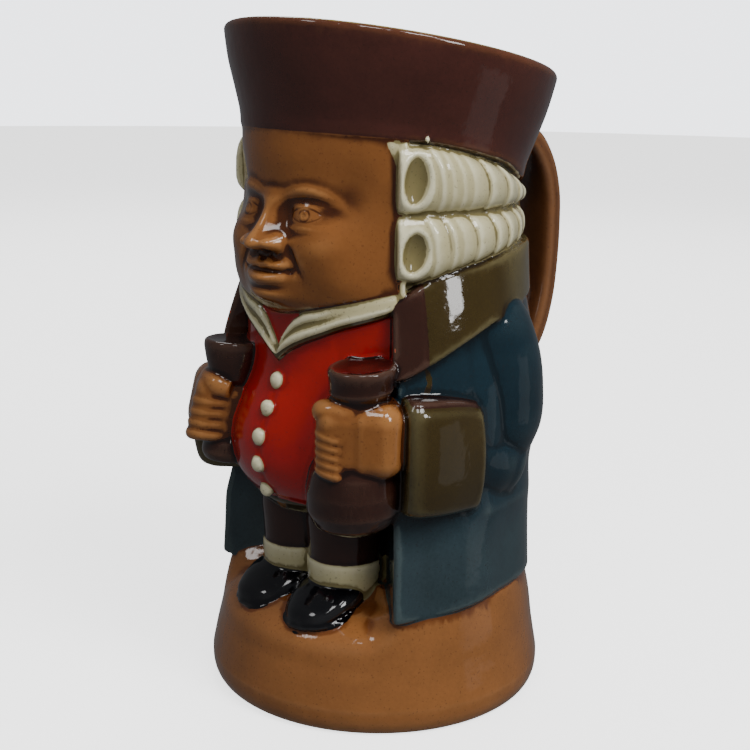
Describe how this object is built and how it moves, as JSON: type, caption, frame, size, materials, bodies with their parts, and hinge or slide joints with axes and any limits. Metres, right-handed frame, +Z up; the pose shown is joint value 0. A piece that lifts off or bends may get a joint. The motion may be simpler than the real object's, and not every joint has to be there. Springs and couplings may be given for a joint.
{
  "type": "toby jug",
  "caption": "Salt-glazed stoneware jug shaped as a standing man in a flared hat and a curled wig, holding a beaker and a flagon, open at the hat, with a strap handle behind.",
  "frame": {"origin": "centre of the flat underside", "axes": "+Z up; the figure faces -Y, its left side is +X and the handle is at +Y"},
  "size_m": [0.1144, 0.1426, 0.2216],
  "materials": {
    "glazed_stoneware": "gloss"
  },
  "bodies": {
    "root": {"toby_jug": "glazed_stoneware"}
  },
  "joints": []
}
